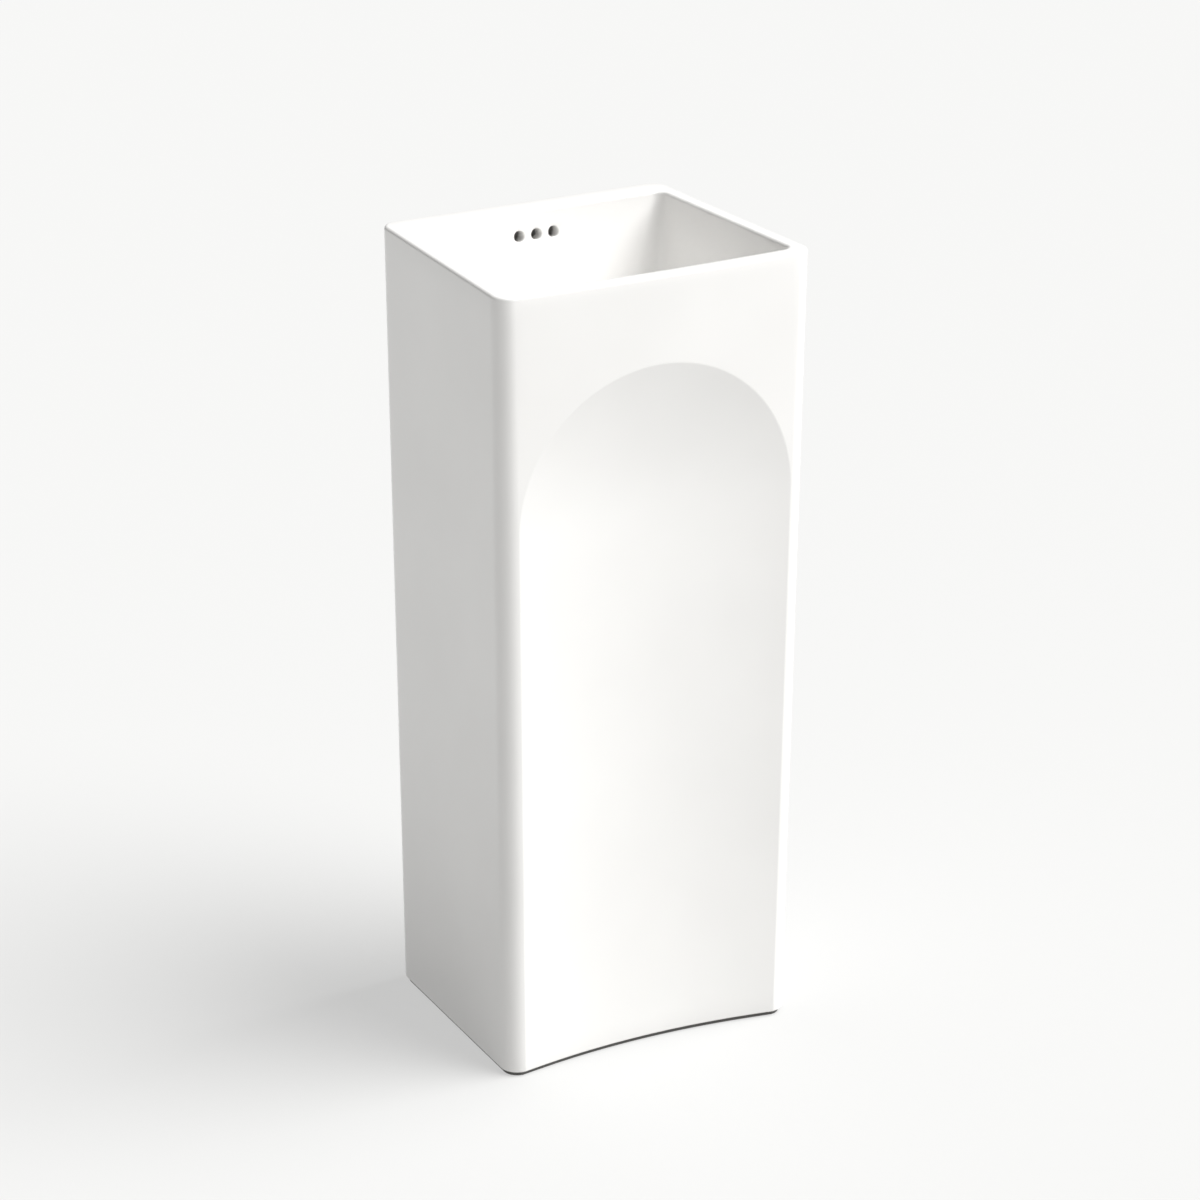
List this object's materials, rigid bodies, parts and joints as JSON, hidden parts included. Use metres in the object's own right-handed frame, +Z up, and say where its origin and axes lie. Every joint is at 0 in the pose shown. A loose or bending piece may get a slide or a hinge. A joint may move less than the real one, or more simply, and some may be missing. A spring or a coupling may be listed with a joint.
{
  "type": "pedestal sink",
  "caption": "Free-standing column washbasin in white glazed fireclay with an arched front scoop, slotted waste, bottle trap and floor outlet.",
  "frame": {"origin": "middle of the base, on the floor", "axes": "+Z up, -Y to the arched front, +X to the viewer's right"},
  "size_m": [0.3588, 0.297, 0.85],
  "materials": {
    "glazed_fireclay": "gloss white glaze",
    "grey_rubber": "matt",
    "white_abs": "gloss",
    "stainless_steel": "bright drawn",
    "zinc_plated_steel": "zinc plated",
    "nylon": "natural",
    "chromed_brass": "polished chrome",
    "raw_brass": "turned",
    "black_rubber": "matt",
    "white_polypropylene": "moulded",
    "grey_polypropylene": "extruded"
  },
  "bodies": {
    "basin": {"ceramic_body": "glazed_fireclay", "base_gasket": "grey_rubber", "access_cover": "white_abs", "cover_screws": "stainless_steel", "cover_inserts": "nylon", "waste_flange": "chromed_brass", "flange_seal": "black_rubber", "plug_cartridge": "nylon", "plug_spring": "stainless_steel", "under_washer": "black_rubber", "slip_washer": "nylon", "waste_backnut": "raw_brass", "trap_inlet_nut": "white_polypropylene", "trap_inlet_washer": "black_rubber", "trap_dip_tube": "white_polypropylene", "trap_top_nut": "white_polypropylene", "trap_top_washer": "black_rubber", "trap_body": "white_polypropylene", "trap_outlet_nut": "white_polypropylene", "trap_outlet_washer": "black_rubber", "outlet_bend": "white_polypropylene", "bend_seal": "black_rubber", "floor_pipe": "grey_polypropylene", "floor_bracket_left": "zinc_plated_steel", "floor_bracket_right": "zinc_plated_steel", "bracket_nuts": "zinc_plated_steel", "back_bolts": "zinc_plated_steel", "bolt_bushes": "nylon", "bolt_caps": "white_abs"},
    "plug": {"plug_cap": "chromed_brass", "plug_seal": "black_rubber", "stem_clip": "stainless_steel"},
    "cup_seal": {"trap_cup_seal": "black_rubber"},
    "cup": {"trap_cup": "white_polypropylene"}
  },
  "joints": [
    {"name": "plug_press", "type": "slide", "parent": "basin", "child": "plug", "axis": [0, 0, -1], "range_m": [0, 0.009], "stiffness_N_per_m": 300, "springref_m": -0.01, "deforming": ["plug_spring"]},
    {"name": "trap_cup_drop", "type": "slide", "parent": "basin", "child": "cup_seal", "axis": [0, 0, -1], "range_m": [0, 0.0082]},
    {"name": "trap_cup_turn", "type": "hinge", "parent": "cup_seal", "child": "cup", "pos_m": [0, -0.006, 0.4825], "axis": [0, 0, -1], "range_deg": [0, 720]}
  ],
  "couplings": [
    {"joint": "trap_cup_drop", "follows": "trap_cup_turn", "m_per_rad": 0.00063662}
  ]
}
